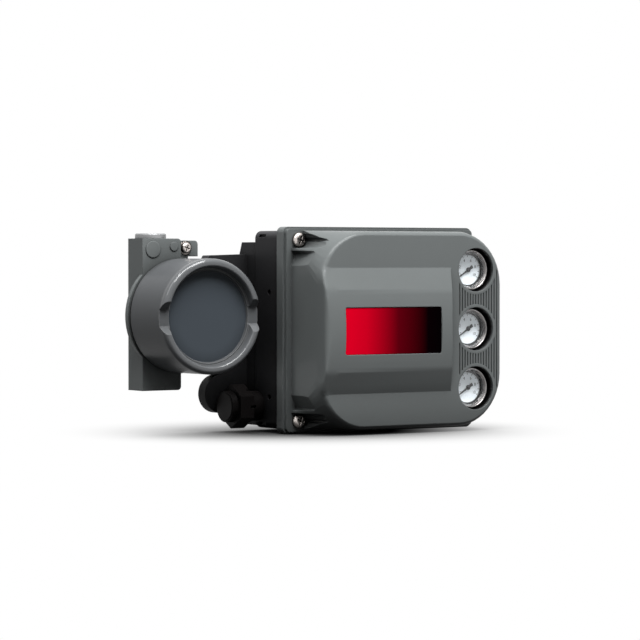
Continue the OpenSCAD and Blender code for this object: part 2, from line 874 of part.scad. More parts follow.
module circuit_board() {
    top_y = board_y - board_t;
    color([0.05, 0.30, 0.16])
    translate([board_x, 0, 0])
    difference() {
        union() {
            slab(board_y - board_t, board_y)
                round_rect(board_w, board_h, 2);
            // Processor, memory, connector and transformer
            block([-0.3 * board_w, top_y - 2, 8], [0.15 * board_w, top_y + eps, 26]);
            block([-0.25 * board_w, top_y - 2, -20], [0.1 * board_w, top_y + eps, -10]);
            block([-0.38 * board_w, top_y - 9, 0.32 * board_h],
                [0.33 * board_w, top_y + eps, 0.39 * board_h]);
            bar_y(0.17 * board_w, top_y - 0.3 * board_w, top_y + eps, 0.05 * board_w, -0.32 * board_h);
        }
        four(board_w / 2 - board_edge, board_h / 2 - board_edge)
            bar_y(1.8, board_y - board_t - eps, board_y + eps);
    }
}

module board_screws() {
    color([0.75, 0.75, 0.76])
    translate([board_x, board_y - board_t, 0])
        four(board_w / 2 - board_edge, board_h / 2 - board_edge)
            pan_screw(1.5, 8, 2.8, 2.2);
}

module travel_sensor() {
    base_y = -rear_wall - 2;
    color([0.10, 0.10, 0.11])
    translate([sensor_x, 0, 0])
    difference() {
        slab(base_y - sensor_depth, base_y)
            round_rect(sensor_w, sensor_h, 3);
        for (sz = [-1, 1]) {
            bar_y(1.8, base_y - sensor_depth - eps, base_y + eps, 0, sz * (sensor_h / 2 - 4));
            bar_y(3.4, base_y - sensor_depth - eps, base_y - 4, 0, sz * (sensor_h / 2 - 4));
        }
    }
}

module sensor_screws() {
    color([0.75, 0.75, 0.76])
    for (sz = [-1, 1])
        translate([sensor_x, -rear_wall - 6, sz * (sensor_h / 2 - 4)])
            pan_screw(1.5, 9, 2.8, 2.2);
}

/* Terminal box */

// Upright column with a rounded rear edge, in X and Y
module column_outline() {
    difference() {
        translate([column_left, collar_y])
            square([column_w, column_back_y - collar_y]);
        translate([column_left - eps, column_back_y - column_round])
            square(column_round + eps);
    }
    translate([column_left + column_round, column_back_y - column_round])
        circle(column_round);
}

// Conduit column with rounded ends at its right side
module conduit_column() {
    height = column_top - column_bottom;
    intersection() {
        translate([0, 0, column_bottom])
            linear_extrude(height = height)
                column_outline();
        slab(collar_y - eps, column_back_y + eps)
            translate([column_left + column_w / 2 - column_corner, column_bottom + height / 2])
                round_rect(column_w + 2 * column_corner, height, column_corner);
    }
}

module terminal_box() {
    color([0.36, 0.37, 0.38])
    difference() {
        union() {
            translate([terminal_x, 0, terminal_z]) {
                bar_y(collar_r, collar_y, collar_y + collar_len);
                bar_y(spigot_r, collar_y - spigot_len, collar_y + eps);
                bar_y(barrel_r, collar_y, wing_y);
            }
            difference() {
                conduit_column();
                // Clear of the wing behind the barrel
                block([wing_left - 1, wing_y, terminal_z - wing_half - 3],
                    [column_left + column_w + 1, column_back_y + eps, terminal_z + wing_half + 1]);
            }
            // Earth ear, set back from the column front, and the web below it
            slab(collar_y + ear_back, collar_y + ear_back + 10)
                difference() {
                    translate([column_left + column_w - 10, ear_bottom])
                        square([ear_right - column_left - column_w + 10, ear_top - ear_bottom]);
                    translate([ear_right - column_corner, ear_top - column_corner])
                        difference() {
                            square(column_corner + eps);
                            circle(column_corner);
                        }
                }
            block([column_left + column_w - 10, collar_y + ear_back, terminal_z],
                [ear_right - 9, collar_y + ear_back + 8, ear_bottom + eps]);
            // Cast pads on the column front
            bar_y(6.5, collar_y - 0.6, collar_y + eps, column_left + 9.5, column_top - 8.5);
            bar_y(3.6, collar_y - 0.6, collar_y + eps, column_left + 28.5, column_top - 6.2);
        }
        translate([terminal_x, 0, terminal_z]) {
            bar_y(chamber_r, collar_y - spigot_len - eps, collar_y + 1);
            bar_y(chamber_back_r, collar_y, chamber_y);
            four(box_screw, box_screw)
                bar_y(m4_r + 0.5 + fit, chamber_y + 0.8, wing_y + eps);
        }
        translate([conduit_x, conduit_y, column_bottom - eps])
            cylinder(r = conduit_r, h = conduit_len + eps);
        translate([conduit_x, conduit_y, column_top - conduit_len])
            cylinder(r = conduit_r, h = conduit_len + eps);
        bar_y(earth_recess_r, earth_y - earth_recess - eps, earth_y, earth_x, earth_z);
        bar_y(m4_r + fit, earth_y - eps, earth_y + 8.5, earth_x, earth_z);
        bar_y(cable_way, chamber_y - eps, wing_y + eps, cable_in_x, terminal_z);
        bar_y(cable_r + 2.5, wing_y - 1.6, wing_y + eps, cable_in_x, terminal_z);
    }
    color([0.36, 0.37, 0.38])
    translate([terminal_x, 0, terminal_z])
        terminal_board_posts();
}

// Posts on the chamber floor that carry the terminal board
module terminal_board_posts() {
    for (sz = [-1, 1])
        difference() {
            bar_y(3.5, terminal_board_y, chamber_y + eps, post_x, sz * post_z);
            bar_y(1.5 + fit, terminal_board_y - eps, terminal_board_y + 5.5, post_x, sz * post_z);
        }
}

// Seal ring round the cable way, between barrel and wing
module terminal_box_seal() {
    color([0.10, 0.10, 0.10])
    difference() {
        bar_y(cable_r + 2.4, wing_y - 1.5, wing_y, cable_in_x, terminal_z);
        bar_y(cable_r + 0.1, wing_y - 2, wing_y + eps, cable_in_x, terminal_z);
    }
}

module terminal_box_screws() {
    color([0.75, 0.75, 0.76])
    translate([terminal_x, -box_screw_seat, terminal_z])
        four(box_screw, box_screw)
            cap_screw(m4_r + 0.5, 9, 4.4, 4.6);
}

// Screwed cap with a rounded rim, a sunk face and two wrench notches
module terminal_cap() {
    rim_r = 3.4;
    rim_w = 4.6;
    inner_r = 1.6;
    sunk = 8;
    face_r = cap_r - 9.5;
    face_t = 4.5;
    bore_r = spigot_r + thread_gap;
    bore_len = spigot_len - seal_t + 3;
    notch_depth = 6.5;
    color([0.36, 0.37, 0.38])
    translate([terminal_x, cap_y, terminal_z])
    difference() {
        rotate([90, 0, 0])
            rotate_extrude()
                polygon(concat([[bore_r, 0], [cap_r, 0]],
                    arc(cap_r - rim_r, cap_len - rim_r, rim_r, 0, 90, 8),
                    arc(cap_r - rim_w, cap_len - inner_r, inner_r, 90, 165, 6),
                    [[face_r + 2.2, cap_len - sunk + 2],
                    [face_r + 0.8, cap_len - sunk + 2], [face_r, cap_len - sunk], [0, cap_len - sunk],
                    [0, cap_len - sunk - face_t],
                    [bore_r - 2.5, cap_len - sunk - face_t], [bore_r - 2.5, bore_len], [bore_r, bore_len]]));
        for (turn = [notch_angle, notch_angle + 180])
            rotate([0, -turn, 0])
                translate([face_r - 1, 0, 0])
                    rotate([90, 0, 90])
                        linear_extrude(height = cap_r)
                            polygon([[-cap_len - 1, -13.5], [-cap_len - 1, 13.5],
                                [-cap_len + notch_depth, 6.5], [-cap_len + notch_depth, -6.5]]);
    }
}

module cap_seal() {
    color([0.05, 0.05, 0.05])
    translate([terminal_x, 0, terminal_z])
    difference() {
        bar_y(cap_r - 1.4, cap_y + seat, collar_y - seat);
        bar_y(spigot_r + thread_gap, cap_y - eps, collar_y + eps);
    }
}

module terminal_board() {
    color([0.10, 0.28, 0.18])
    translate([terminal_x, 0, terminal_z])
    difference() {
        bar_y(chamber_back_r - 1, terminal_board_y - terminal_board_t, terminal_board_y);
        // Clear of the conduit ways and the cable
        block([-2 * cap_r, terminal_board_y - 5, -cap_r],
            [conduit_x - terminal_x + conduit_r, terminal_board_y + 5, cap_r]);
        bar_y(cable_r + 0.6, terminal_board_y - 5, terminal_board_y + 5, cable_in_x - terminal_x, 0);
        for (sz = [-1, 1])
            bar_y(1.8, terminal_board_y - 5, terminal_board_y + 5, post_x, sz * post_z);
    }
}

module terminal_board_screws() {
    color([0.75, 0.75, 0.76])
    translate([terminal_x, terminal_board_y - terminal_board_t, terminal_z])
        for (sz = [-1, 1])
            translate([post_x, 0, sz * post_z])
                pan_screw(m3_r, terminal_board_t + 5, m3_head_r, m3_head_h);
}

// Block of clamp terminals standing on the board
module terminal_block() {
    base_y = terminal_board_y - terminal_board_t;
    pitch = block_w / clamp_count;
    color([0.12, 0.22, 0.32])
    translate([terminal_x + 6, 0, terminal_z])
    difference() {
        block([-block_h / 2, base_y - block_t, -block_w / 2], [block_h / 2, base_y, block_w / 2]);
        for (i = [0:clamp_count - 1])
            translate([0, 0, -block_w / 2 + (i + 0.5) * pitch]) {
                bar_y(2.6, base_y - block_t - eps, base_y - block_t + 8, 3);
                block([-block_h / 2 - eps, base_y - block_t + 7, -2.6], [-2, base_y - block_t + 13, 2.6]);
            }
    }
}

module terminal_clamp_screws() {
    base_y = terminal_board_y - terminal_board_t;
    pitch = block_w / clamp_count;
    color([0.78, 0.78, 0.76])
    translate([terminal_x + 6, 0, terminal_z])
        for (i = [0:clamp_count - 1])
            translate([3, base_y - block_t + 8, -block_w / 2 + (i + 0.5) * pitch])
                difference() {
                    bar_y(2.5, -6, 0);
                    block([-3, -7, -0.4], [3, -5, 0.4]);
                }
}

// Insulated cable from the terminal board through the wing into the housing
module signal_cable() {
    color([0.14, 0.14, 0.15])
    translate([0, 0, terminal_z]) {
        bar_y(cable_r, terminal_board_y - terminal_board_t - 3, cable_y, cable_in_x);
        bar_x(cable_r, cable_in_x, cable_out_x, cable_y);
        bar_y(cable_r, board_y, cable_y, cable_out_x);
        translate([cable_in_x, cable_y, 0])
            sphere(cable_r);
        translate([cable_out_x, cable_y, 0])
            sphere(cable_r);
    }
}

// Closing plug with a flat head and a square drive recess
module conduit_plug() {
    color([0.55, 0.56, 0.57])
    translate([conduit_x, conduit_y, column_top])
    difference() {
        union() {
            translate([0, 0, -plug_len])
                cylinder(r = conduit_r - fit, h = plug_len + eps);
            cylinder(r = plug_r, h = 3.2);
            translate([0, 0, 3.2])
                cylinder(r1 = plug_r, r2 = plug_r - 0.8, h = 0.8);
        }
        translate([0, 0, -plug_len + 4])
            cylinder(r = conduit_r - 2, h = plug_len + 5);
    }
}

module earth_washer() {
    color([0.70, 0.70, 0.70])
    difference() {
        bar_y(earth_recess_r - 0.4, earth_y - 0.9, earth_y, earth_x, earth_z);
        bar_y(m4_clear, earth_y - 2, earth_y + eps, earth_x, earth_z);
    }
}

module earth_screw() {
    color([0.80, 0.80, 0.80])
    translate([earth_x, earth_y - 0.9, earth_z])
        pan_screw(m4_r, 8, 4.4, 3);
}

/* Vent */

module vent_body() {
    hex_x = vent_x - vent_neck_len;
    face_x = hex_x - vent_hex_len;
    color([0.07, 0.07, 0.08])
    translate([0, vent_y, vent_z])
    difference() {
        union() {
            bar_x(vent_thread_r, vent_x - eps, vent_x + vent_thread_len - seat);
            bar_x(vent_neck_r, hex_x - eps, vent_x);
            translate([face_x, 0, 0])
                rotate([0, 90, 0])
                    cylinder(r = vent_hex_r, h = vent_hex_len, $fn = 6);
            bar_x(vent_face_r, face_x - 5.5, face_x + eps);
            bar_x(vent_face_r - 1.2, face_x - 6.2, face_x);
        }
        bar_x(4.5, face_x + 2, vent_x + vent_thread_len);
        // Breathing slots through the hexagon's back
        for (turn = [0:60:300])
            rotate([turn + 30, 0, 0])
                block([hex_x - 3, -1, 3], [hex_x + 4, 1, vent_hex_r]);
    }
}

module vent_screen() {
    color([0.60, 0.60, 0.58])
    translate([0, vent_y, vent_z])
        bar_x(4.4, vent_x + vent_thread_len - 1.5, vent_x + vent_thread_len - 0.5);
}

housing();
cover_gasket();
front_cover();
cover_screws();
label_plate();
gauge_case(gauge_z[0]);  // gauge_case_top
gauge_case(gauge_z[1]);  // gauge_case_middle
gauge_case(gauge_z[2]);  // gauge_case_bottom
gauge_dial(gauge_z[0]);  // gauge_dial_top
gauge_dial(gauge_z[1]);  // gauge_dial_middle
gauge_dial(gauge_z[2]);  // gauge_dial_bottom
gauge_pointer(gauge_z[0]);  // gauge_pointer_top
gauge_pointer(gauge_z[1]);  // gauge_pointer_middle
gauge_pointer(gauge_z[2]);  // gauge_pointer_bottom
gauge_lens(gauge_z[0]);  // gauge_lens_top
gauge_lens(gauge_z[1]);  // gauge_lens_middle
gauge_lens(gauge_z[2]);  // gauge_lens_bottom
module_base();
module_screws();
port_seals();
pressure_converter();
converter_gasket();
converter_screws();
pneumatic_relay();
relay_gasket();
relay_screws();
relay_adjust_disc();
circuit_board();
board_screws();
travel_sensor();
sensor_screws();
terminal_box();
terminal_box_seal();
terminal_box_screws();
terminal_cap();
cap_seal();
terminal_board();
terminal_board_screws();
terminal_block();
terminal_clamp_screws();
signal_cable();
conduit_plug();
earth_screw();
earth_washer();
vent_body();
vent_screen();
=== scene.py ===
import json
import logging
import math
from dataclasses import dataclass
from enum import Enum

import bpy
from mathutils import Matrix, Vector


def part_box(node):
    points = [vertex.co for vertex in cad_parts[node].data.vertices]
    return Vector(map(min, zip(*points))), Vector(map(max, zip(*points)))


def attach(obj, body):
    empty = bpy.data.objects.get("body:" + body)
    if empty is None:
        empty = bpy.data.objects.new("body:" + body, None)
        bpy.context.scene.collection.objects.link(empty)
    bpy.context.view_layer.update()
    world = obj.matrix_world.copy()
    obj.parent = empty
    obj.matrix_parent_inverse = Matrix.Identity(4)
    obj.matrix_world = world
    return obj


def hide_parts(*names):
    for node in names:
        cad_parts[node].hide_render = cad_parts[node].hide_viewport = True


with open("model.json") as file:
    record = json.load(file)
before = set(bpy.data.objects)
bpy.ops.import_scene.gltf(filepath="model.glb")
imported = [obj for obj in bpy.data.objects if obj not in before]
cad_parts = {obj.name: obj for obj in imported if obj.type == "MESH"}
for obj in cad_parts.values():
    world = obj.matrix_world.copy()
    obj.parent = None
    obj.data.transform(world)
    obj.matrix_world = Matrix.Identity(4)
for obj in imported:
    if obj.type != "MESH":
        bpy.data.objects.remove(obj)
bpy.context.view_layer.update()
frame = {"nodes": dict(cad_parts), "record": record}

LOG = logging.getLogger("positioner")
MM = 0.001
WHITE = (1.0, 1.0, 1.0, 1.0)
CLOUD_SCALE = 28.0
FINE_SHARE = 0.45
EDGE_GAIN = 4.0
EDGE_SAMPLES = 6
CAVITY_POWER = 1.5
CAVITY_SAMPLES = 8
GAUGE_X = 64.8 * MM
GAUGE_PITCH = 47.7 * MM
GAUGE_ROWS = {"middle": 0, "top": 1, "bottom": -1}

Color = tuple[float, float, float, float]
Point = tuple[float, float, float]
Stops = tuple[tuple[float, Color], ...]


class Axis(Enum):
    """Axes of the shared frame, by their place in a vector."""

    X = 0
    Y = 1
    Z = 2


def srgb(red: int, green: int, blue: int) -> Color:
    """Turn a screen colour into the linear colour that shaders take.

    Args:
        red: Red from 0 to 255.
        green: Green from 0 to 255.
        blue: Blue from 0 to 255.

    Returns:
        The linear colour with full alpha.
    """

    def linear(value: int) -> float:
        """Linear value of one channel."""
        part = value / 255
        return part / 12.92 if part <= 0.04045 else ((part + 0.055) / 1.055) ** 2.4

    return linear(red), linear(green), linear(blue), 1.0


def deselect() -> None:
    """Leave edit mode and deselect every object."""
    if bpy.context.object and bpy.context.object.mode != "OBJECT":
        bpy.ops.object.mode_set(mode="OBJECT")
    bpy.ops.object.select_all(action="DESELECT")


def activate(piece: bpy.types.Object) -> None:
    """Make a piece the only selected and active object.

    Args:
        piece: The object to work on.
    """
    deselect()
    piece.select_set(True)
    bpy.context.view_layer.objects.active = piece


def settle(piece: bpy.types.Object) -> None:
    """Put a piece's place into its mesh, so that its object sits at the origin.

    Args:
        piece: The object to settle.
    """
    activate(piece)
    bpy.ops.object.transform_apply(location=True, rotation=True, scale=True)


def join(pieces: list[bpy.types.Object], name: str) -> bpy.types.Object:
    """Join several meshes into one named piece.

    Args:
        pieces: The meshes to join.
        name: The name of the joined piece.

    Returns:
        The joined piece, settled at the origin.
    """
    for piece in pieces:
        settle(piece)
    deselect()
    for piece in pieces:
        piece.select_set(True)
    bpy.context.view_layer.objects.active = pieces[0]
    if len(pieces) > 1:
        bpy.ops.object.join()
    whole = bpy.context.view_layer.objects.active
    whole.name = whole.data.name = name
    return whole


def copy_piece(piece: bpy.types.Object, name: str, move: Point) -> bpy.types.Object:
    """Copy a piece with its own mesh and move the copy's mesh.

    Args:
        piece: The piece to copy.
        name: The name of the copy.
        move: How far the copy lies from the first piece, in metres.

    Returns:
        The copy, settled at the origin.
    """
    activate(piece)
    bpy.ops.object.duplicate(linked=False)
    copy = bpy.context.view_layer.objects.active
    copy.name = copy.data.name = name
    copy.location = move
    settle(copy)
    return copy


def carve(piece: bpy.types.Object, tool: bpy.types.Object) -> None:
    """Cut one solid out of another and throw the cutting one away.

    Args:
        piece: The solid that is cut.
        tool: The solid that cuts.
    """
    activate(piece)
    bpy.ops.object.modifier_add(type="BOOLEAN")
    cut = piece.modifiers[-1]
    cut.operation = "DIFFERENCE"
    cut.solver = "EXACT"
    cut.object = tool
    bpy.ops.object.modifier_apply(modifier=cut.name)
    bpy.data.objects.remove(tool)


def dress(piece: bpy.types.Object, material: bpy.types.Material) -> None:
    """Give a piece one material in all its slots.

    Args:
        piece: The piece or CAD node.
        material: The material.
    """
    if not piece.data.materials:
        piece.data.materials.append(material)
    for index in range(len(piece.data.materials)):
        piece.data.materials[index] = material


def place(piece: bpy.types.Object, body: str) -> None:
    """Fix a new piece to its body, and report it.

    Args:
        piece: The new piece.
        body: The CAD body that it moves with.
    """
    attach(piece, body)
    LOG.info("piece %s rides on %s", piece.name, body)


class Nodes:
    """Adds and links shader nodes in one tree."""

    def __init__(self, tree: bpy.types.NodeTree) -> None:
        """Keep the tree.

        Args:
            tree: The node tree to build in.
        """
        self.tree = tree

    def add(self, kind: str, **inputs: object) -> bpy.types.Node:
        """Add a node and set its inputs and properties.

        Args:
            kind: The node's type name, without the leading ShaderNode.
            inputs: Values or sockets, by input name with _ for a space or by i and the input's number,
                and properties with a leading p_.

        Returns:
            The new node.
        """
        node = self.tree.nodes.new(kind if kind.startswith("NodeGroup") else "ShaderNode" + kind)
        for key, value in inputs.items():
            if key.startswith("p_"):
                setattr(node, key[2:], value)
        for key, value in inputs.items():
            if key.startswith("p_"):
                continue
            numbered = key[0] == "i" and key[1:].isdigit()
            socket = node.inputs[int(key[1:]) if numbered else key.replace("_", " ")]
            if isinstance(value, bpy.types.NodeSocket):
                self.tree.links.new(value, socket)
            else:
                socket.default_value = value
        return node

    def math(self, operation: str, first: object, second: object = 0.0,
             clamp: bool = False) -> bpy.types.NodeSocket:
        """Add a Math node.

        Args:
            operation: The operation's name.
            first: First value or socket.
            second: Second value or socket.
            clamp: Whether the result stays between 0 and 1.

        Returns:
            The result's socket.
        """
        return self.add("Math", p_operation=operation, p_use_clamp=clamp, i0=first, i1=second).outputs[0]

    def mix(self, factor: object, first: object, second: object) -> bpy.types.NodeSocket:
        """Mix two colours.

        Args:
            factor: Share of the second colour, as a value or socket.
            first: First colour or socket.
            second: Second colour or socket.

        Returns:
            The colour's socket.
        """
        return self.add("Mix", p_data_type="RGBA", Factor=factor, i6=first, i7=second).outputs[2]

    def smooth(self, value: bpy.types.NodeSocket, low: float, high: float,
               top: float = 1.0) -> bpy.types.NodeSocket:
        """Ease a value from 0 to a top value.

        Args:
            value: The value's socket.
            low: Where the result is 0.
            high: Where the result reaches the top value.
            top: The top value.

        Returns:
            The result's socket.
        """
        return self.add("MapRange", p_interpolation_type="SMOOTHSTEP", Value=value, From_Min=low,
                        From_Max=high, To_Max=top).outputs[0]

    def place(self) -> bpy.types.NodeOutputs:
        """Give the outputs with the X, Y and Z of the object's coordinates."""
        return self.add("SeparateXYZ", Vector=self.add("TexCoord").outputs["Object"]).outputs

    def seen(self) -> bpy.types.NodeSocket:
        """Mask the rays that see the studio's white: camera, glossy and transmission rays.

        Returns:
            The mask's socket.
        """
        rays = self.add("LightPath").outputs
        seen = self.math("MAXIMUM", rays["Is Camera Ray"], rays["Is Glossy Ray"])
        return self.math("MAXIMUM", seen, rays["Is Transmission Ray"])

    def ramp(self, factor: bpy.types.NodeSocket, stops: Stops) -> bpy.types.NodeSocket:
        """Add a colour ramp.

        Args:
            factor: The socket that picks the colour.
            stops: Places and colours along the ramp.

        Returns:
            The colour's socket.
        """
        node = self.add("ValToRGB", i0=factor)
        elements = node.color_ramp.elements
        while len(elements) < len(stops):
            elements.new(0.5)
        for element, (spot, color) in zip(elements, stops):
            element.position = spot
            element.color = color
        return node.outputs[0]


def new_group(name: str, inputs: dict[str, tuple[str, object]],
              outputs: dict[str, str]) -> bpy.types.NodeTree:
    """Make an empty shader node group with named sockets.

    Args:
        name: The group's name.
        inputs: Socket type and default value by name.
        outputs: Socket type by name.

    Returns:
        The group, with its input and output nodes added.
    """
    tree = bpy.data.node_groups.new(name, "ShaderNodeTree")
    for key, (kind, value) in inputs.items():
        socket = tree.interface.new_socket(key, in_out="INPUT", socket_type=kind)
        socket.default_value = value
    for key, kind in outputs.items():
        tree.interface.new_socket(key, in_out="OUTPUT", socket_type=kind)
    tree.nodes.new("NodeGroupInput")
    tree.nodes.new("NodeGroupOutput")
    return tree


def grain_group() -> bpy.types.NodeTree:
    """Build the group that gives a surface fine grain, slow colour drift and an uneven sheen.

    Returns:
        The node group.
    """
    tree = new_group(
        "surface_grain",
        {"Color": ("NodeSocketColor", (0.5, 0.5, 0.5, 1)), "Drift": ("NodeSocketFloat", 0.1),
         "Scale": ("NodeSocketFloat", 900.0), "Rough": ("NodeSocketFloat", 0.4),
         "Rough Spread": ("NodeSocketFloat", 0.08)},
        {"Color": "NodeSocketColor", "Roughness": "NodeSocketFloat", "Height": "NodeSocketFloat"},
    )
    nodes = Nodes(tree)
    entry = tree.nodes["Group Input"].outputs
    where = nodes.add("TexCoord").outputs["Object"]
    fine = nodes.add("TexNoise", Vector=where, Scale=entry["Scale"], Detail=3.0, Roughness=0.6)
    slow = nodes.add("TexNoise", Vector=where, Scale=CLOUD_SCALE, Detail=4.0, Roughness=0.65)
    both = nodes.math("ADD", nodes.math("MULTIPLY", fine.outputs["Fac"], FINE_SHARE),
                      nodes.math("MULTIPLY", slow.outputs["Fac"], 1.0 - FINE_SHARE))
    swing = nodes.math("MULTIPLY", nodes.math("SUBTRACT", both, 0.5), entry["Drift"])
    value = nodes.math("ADD", 1.0, nodes.math("MULTIPLY", swing, 2.0))
    color = nodes.add("HueSaturation", Color=entry["Color"], Value=value).outputs[0]
    spread = nodes.math("MULTIPLY", nodes.math("SUBTRACT", both, 0.5), entry["Rough Spread"])
    rough = nodes.math("ADD", entry["Rough"], nodes.math("MULTIPLY", spread, 4.0), clamp=True)
    out = tree.nodes["Group Output"].inputs
    tree.links.new(color, out["Color"])
    tree.links.new(rough, out["Roughness"])
    tree.links.new(fine.outputs["Fac"], out["Height"])
    return tree


def edge_group() -> bpy.types.NodeTree:
    """Build the group that rounds sharp edges in the shading and masks them.

    Returns:
        The node group.
    """
    tree = new_group(
        "soft_edges",
        {"Gain": ("NodeSocketFloat", EDGE_GAIN), "Radius": ("NodeSocketFloat", 0.7 * MM)},
        {"Normal": "NodeSocketVector", "Edge": "NodeSocketFloat"},
    )
    nodes = Nodes(tree)
    entry = tree.nodes["Group Input"].outputs
    bevel = nodes.add("Bevel", p_samples=EDGE_SAMPLES, Radius=entry["Radius"]).outputs[0]
    flat = nodes.add("NewGeometry").outputs["Normal"]
    dot = nodes.add("VectorMath", p_operation="DOT_PRODUCT", i0=bevel, i1=flat).outputs["Value"]
    edge = nodes.math("MULTIPLY", nodes.math("SUBTRACT", 1.0, dot), entry["Gain"], clamp=True)
    out = tree.nodes["Group Output"].inputs
    tree.links.new(bevel, out["Normal"])
    tree.links.new(edge, out["Edge"])
    return tree


def cavity_group() -> bpy.types.NodeTree:
    """Build the group that paints ambient-occlusion shade into a colour in pockets, wells, seams and
    wherever other parts stand near.

    Returns:
        The node group.
    """
    tree = new_group(
        "cavity_shade",
        {"Color": ("NodeSocketColor", (0.5, 0.5, 0.5, 1)), "Depth": ("NodeSocketFloat", 0.6),
         "Reach": ("NodeSocketFloat", 7.0 * MM)},
        {"Color": "NodeSocketColor"},
    )
    nodes = Nodes(tree)
    entry = tree.nodes["Group Input"].outputs
    # Ambient occlusion paints shade into the colour in hollows and where other parts stand near.
    open_sky = nodes.add("AmbientOcclusion", p_samples=CAVITY_SAMPLES, Distance=entry["Reach"]).outputs["AO"]
    closed = nodes.math("SUBTRACT", 1.0, nodes.math("POWER", open_sky, CAVITY_POWER), clamp=True)
    amount = nodes.math("SUBTRACT", 1.0, nodes.math("MULTIPLY", closed, entry["Depth"]), clamp=True)
    color = nodes.add("HueSaturation", Color=entry["Color"], Value=amount).outputs[0]
    tree.links.new(color, tree.nodes["Group Output"].inputs["Color"])
    return tree


@dataclass(frozen=True)
class Finish:
    """A surface finish: colour, sheen, grain, painted cavity shade, and edge wear with a painted edge
    highlight.
    """

    name: str
    color: Color
    rough: float = 0.42
    rough_spread: float = 0.06
    metallic: float = 0.0
    drift: float = 0.12
    grain: float = 900.0
    bump: float = 0.05
    # Lightening of the edges towards white: edge wear and a painted edge highlight.
    edge_wear_and_highlight: float = 0.0
    # Depth of the ambient-occlusion shade painted into the colour.
    painted_shade: float = 0.6
    specular: float = 0.35
    edge_r: float = 0.7 * MM
    coat: float = 0.0
    coat_rough: float = 0.09
    reach: float = 7.0 * MM
    grain_depth: float = 0.4 * MM

    def material(self) -> bpy.types.Material:
        """Build the material of this finish.

        Returns:
            The material.
        """
        made = bpy.data.materials.new(self.name)
        made.use_nodes = True
        nodes = Nodes(made.node_tree)
        shader = made.node_tree.nodes["Principled BSDF"]
        grain = nodes.add("Group", p_node_tree=bpy.data.node_groups["surface_grain"], Color=self.color,
                          Drift=self.drift, Scale=self.grain, Rough=self.rough,
                          Rough_Spread=self.rough_spread)
        edges = nodes.add("Group", p_node_tree=bpy.data.node_groups["soft_edges"], Radius=self.edge_r)
        # The cavity_shade group paints shade into the colour.
        color = nodes.add("Group", p_node_tree=bpy.data.node_groups["cavity_shade"], Depth=self.painted_shade,
                          Reach=self.reach, Color=self.paint(nodes, grain, edges)).outputs["Color"]
        bump = nodes.add("Bump", Strength=self.bump, Distance=self.grain_depth,
                         Height=grain.outputs["Height"], Normal=edges.outputs["Normal"])
        made.node_tree.links.new(color, shader.inputs["Base Color"])
        made.node_tree.links.new(grain.outputs["Roughness"], shader.inputs["Roughness"])
        made.node_tree.links.new(bump.outputs[0], shader.inputs["Normal"])
        shader.inputs["Metallic"].default_value = self.metallic
        shader.inputs["Specular IOR Level"].default_value = self.specular
        shader.inputs["Coat Weight"].default_value = self.coat
        shader.inputs["Coat Roughness"].default_value = self.coat_rough
        return made

    def paint(self, nodes: Nodes, grain: bpy.types.Node, edges: bpy.types.Node) -> bpy.types.NodeSocket:
        """Lighten the grain's colour along the edges, as edge wear and a painted edge highlight.

        Args:
            nodes: The material's nodes.
            grain: The grain group's node.
            edges: The edge group's node.

        Returns:
            The colour's socket.
        """
        if not self.edge_wear_and_highlight:
            return grain.outputs["Color"]
        # Painted edge highlight, partly edge wear.
        amount = nodes.math("MULTIPLY", edges.outputs["Edge"], self.edge_wear_and_highlight)
        return nodes.mix(amount, grain.outputs["Color"], WHITE)


def gauge_group() -> bpy.types.NodeTree:
    """Build the group that measures how far a point lies from the nearest gauge's axis.

    Returns:
        The node group.
    """
    tree = new_group(
        "gauge_distance",
        {"Axis X": ("NodeSocketFloat", GAUGE_X), "Pitch": ("NodeSocketFloat", GAUGE_PITCH)},
        {"Radius": "NodeSocketFloat", "Depth": "NodeSocketFloat"},
    )
    nodes = Nodes(tree)
    entry = tree.nodes["Group Input"].outputs
    where = nodes.place()
    count = nodes.math("ROUND", nodes.math("DIVIDE", where[2], entry["Pitch"]))
    count = nodes.math("MAXIMUM", nodes.math("MINIMUM", count, 1.0), -1.0)
    row = nodes.math("MULTIPLY", count, entry["Pitch"])
    across = nodes.math("POWER", nodes.math("SUBTRACT", where[0], entry["Axis X"]), 2.0)
    upward = nodes.math("POWER", nodes.math("SUBTRACT", where[2], row), 2.0)
    out = tree.nodes["Group Output"].inputs
    tree.links.new(nodes.math("SQRT", nodes.math("ADD", across, upward)), out["Radius"])
    tree.links.new(where[1], out["Depth"])
    return tree


@dataclass(frozen=True)
class CoverPaint(Finish):
    """Cover paint with shade painted down the walls of the gauge wells."""

    well_r: float = 17.6 * MM
    mouth_y: float = -113.6 * MM
    deep_y: float = -110.8 * MM
    # Colour of the shade painted deep in the gauge wells.
    painted_well_shade: Color = srgb(10, 9, 10)

    def paint(self, nodes: Nodes, grain: bpy.types.Node, edges: bpy.types.Node) -> bpy.types.NodeSocket:
        """Paint shade onto the well walls, darker with their depth.

        Args:
            nodes: The material's nodes.
            grain: The grain group's node.
            edges: The edge group's node.

        Returns:
            The colour's socket.
        """
        gauge = nodes.add("Group", p_node_tree=bpy.data.node_groups["gauge_distance"]).outputs
        inside = nodes.math("LESS_THAN", gauge["Radius"], self.well_r)
        depth = nodes.smooth(gauge["Depth"], self.mouth_y, self.deep_y)
        paint = super().paint(nodes, grain, edges)
        # Mix in the painted shade down the well walls.
        return nodes.mix(nodes.math("MULTIPLY", inside, depth), paint, self.painted_well_shade)


@dataclass(frozen=True)
class DialFace(Finish):
    """White dial with a dark seam along its rim."""

    rim_r: float = 12.55 * MM
    seam: Color = srgb(34, 34, 36)

    def paint(self, nodes: Nodes, grain: bpy.types.Node, edges: bpy.types.Node) -> bpy.types.NodeSocket:
        """Darken the dial's rim.

        Args:
            nodes: The material's nodes.
            grain: The grain group's node.
            edges: The edge group's node; not used.

        Returns:
            The colour's socket.
        """
        gauge = nodes.add("Group", p_node_tree=bpy.data.node_groups["gauge_distance"]).outputs
        rim = nodes.math("GREATER_THAN", gauge["Radius"], self.rim_r)
        return nodes.mix(rim, grain.outputs["Color"], self.seam)


